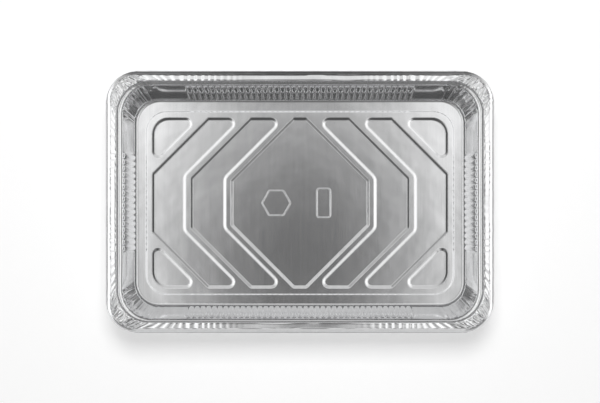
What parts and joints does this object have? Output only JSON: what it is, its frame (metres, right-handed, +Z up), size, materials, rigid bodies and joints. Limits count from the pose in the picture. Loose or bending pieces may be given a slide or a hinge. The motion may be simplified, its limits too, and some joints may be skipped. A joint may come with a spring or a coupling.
{
  "type": "foil tray",
  "caption": "Shallow rectangular aluminium foil tray with ribbed walls, a pressed floor pattern and a curled rim.",
  "frame": {"origin": "middle of the base, on the surface that the tray stands on", "axes": "+X along the tray's length, +Y across it, +Z up out of its open mouth"},
  "size_m": [0.3148, 0.2128, 0.0419],
  "materials": {
    "foil": "bright rolled foil with a fine grain across the tray"
  },
  "bodies": {
    "root": {"tray": "foil"}
  },
  "joints": []
}
